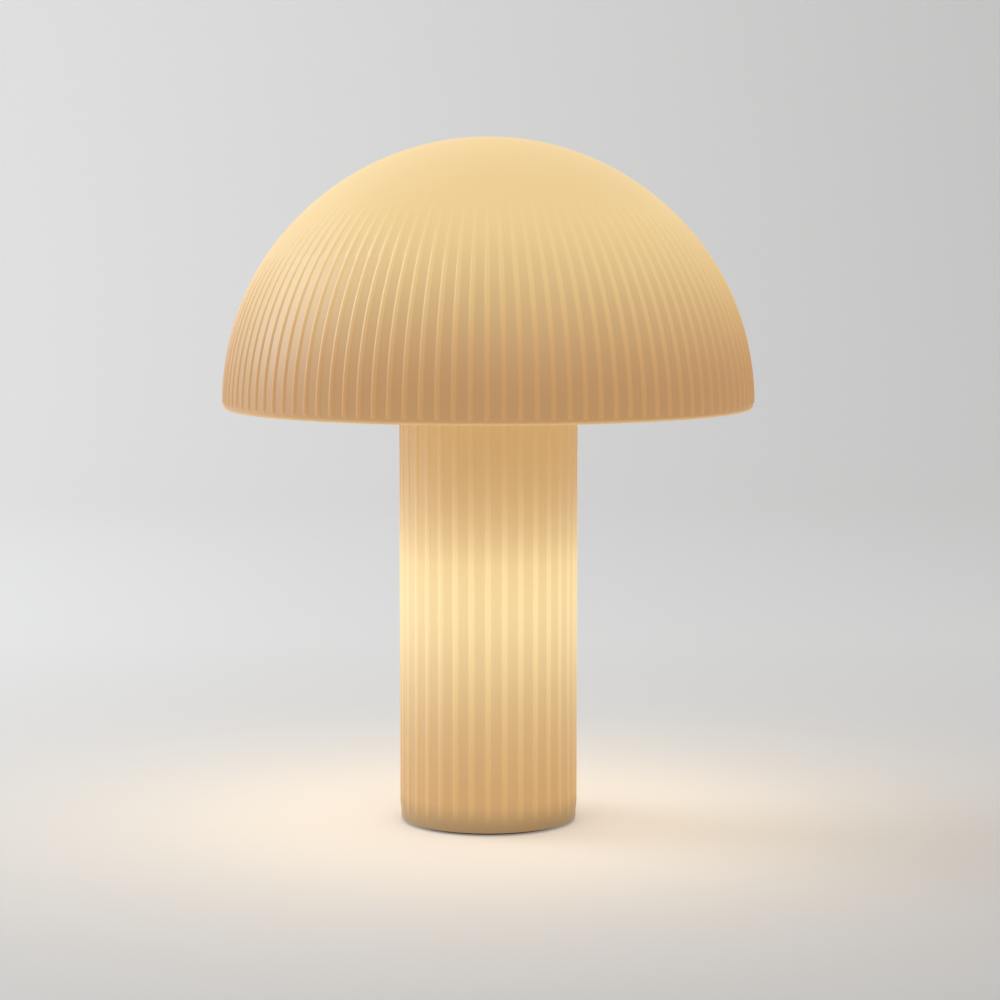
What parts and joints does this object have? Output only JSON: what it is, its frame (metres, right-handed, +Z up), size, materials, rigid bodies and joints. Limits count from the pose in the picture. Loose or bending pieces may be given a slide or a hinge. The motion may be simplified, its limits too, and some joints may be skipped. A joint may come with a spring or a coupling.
{
  "type": "mushroom table lamp",
  "caption": "Table lamp with a ribbed hemispherical shade on a ribbed round column, both translucent and lit by one bulb inside the column.",
  "frame": {"origin": "centre of the round foot, on the surface that the lamp stands on", "axes": "+Z up along the column; -Y is the front seen in the picture, +Y the rear with the cord inlet and the switch"},
  "size_m": [0.26, 0.26, 0.3366],
  "materials": {
    "shade_plastic": "translucent cream amber moulded plastic, fine ribs, satin",
    "column_plastic": "translucent cream amber moulded plastic, ribbed, satin",
    "carrier_plastic": "frosted clear moulded plastic",
    "steel_painted": "powder coated steel, fine texture",
    "iron": "raw cast iron",
    "zinc_steel": "zinc plated steel",
    "brass_part": "plain brass",
    "holder_plastic": "black thermoset plastic",
    "holder_ceramic": "unglazed white ceramic",
    "opal_glass": "opal glass, lit from inside",
    "clear_glass": "clear glass",
    "filament": "phosphor coated light filament, lit",
    "cap_metal": "rolled aluminium thread",
    "solder": "solder",
    "black_glass": "black vitrified insulator",
    "block_plastic": "natural nylon",
    "wire_sheath": "brown insulated wire",
    "foot_rubber": "soft black-brown rubber",
    "grommet_rubber": "brown rubber",
    "switch_plastic": "beige moulded plastic",
    "spring_steel": "drawn spring wire"
  },
  "bodies": {
    "base": {"foot_ring": "foot_rubber", "base_plate": "steel_painted", "base_screws": "zinc_steel", "ballast_disc": "iron", "threaded_tube": "zinc_steel", "tube_nuts": "zinc_steel", "clamp_washer": "zinc_steel", "column": "column_plastic", "lampholder_cup": "holder_plastic", "lampholder_core": "holder_ceramic", "lampholder_thread": "brass_part", "lampholder_contact": "brass_part", "lampholder_sleeve": "holder_plastic", "terminal_block": "block_plastic", "block_screws": "brass_part", "inner_wires": "wire_sheath", "cord_grommet": "grommet_rubber", "switch_body": "switch_plastic", "switch_nut": "zinc_steel", "switch_spring": "spring_steel", "switch_terminals": "brass_part"},
    "shade": {"dome_shade": "shade_plastic", "shade_carrier": "carrier_plastic", "carrier_screws": "zinc_steel"},
    "bulb_tip": {"bulb_contact": "solder"},
    "bulb": {"bulb_insulator": "black_glass", "bulb_cap": "cap_metal", "bulb_glass": "opal_glass", "bulb_stem": "clear_glass", "led_filaments": "filament"},
    "button": {"switch_button": "switch_plastic"}
  },
  "joints": [
    {"name": "shade_lift", "type": "slide", "parent": "base", "child": "shade", "axis": [0, 0, 1], "range_m": [0, 0.08]},
    {"name": "bulb_rise", "type": "slide", "parent": "base", "child": "bulb_tip", "axis": [0, 0, 1], "range_m": [0, 0.0182]},
    {"name": "bulb_turn", "type": "hinge", "parent": "bulb_tip", "child": "bulb", "pos_m": [0, 0, 0.0342], "axis": [0, 0, 1], "range_deg": [0, 1800]},
    {"name": "switch_press", "type": "slide", "parent": "base", "child": "button", "axis": [0, -1, 0], "range_m": [0, 0.0025], "stiffness_N_per_m": 500, "springref_m": -0.002, "deforming": ["switch_spring"]}
  ],
  "couplings": [
    {"joint": "bulb_rise", "follows": "bulb_turn", "m_per_rad": 0.00057773}
  ]
}
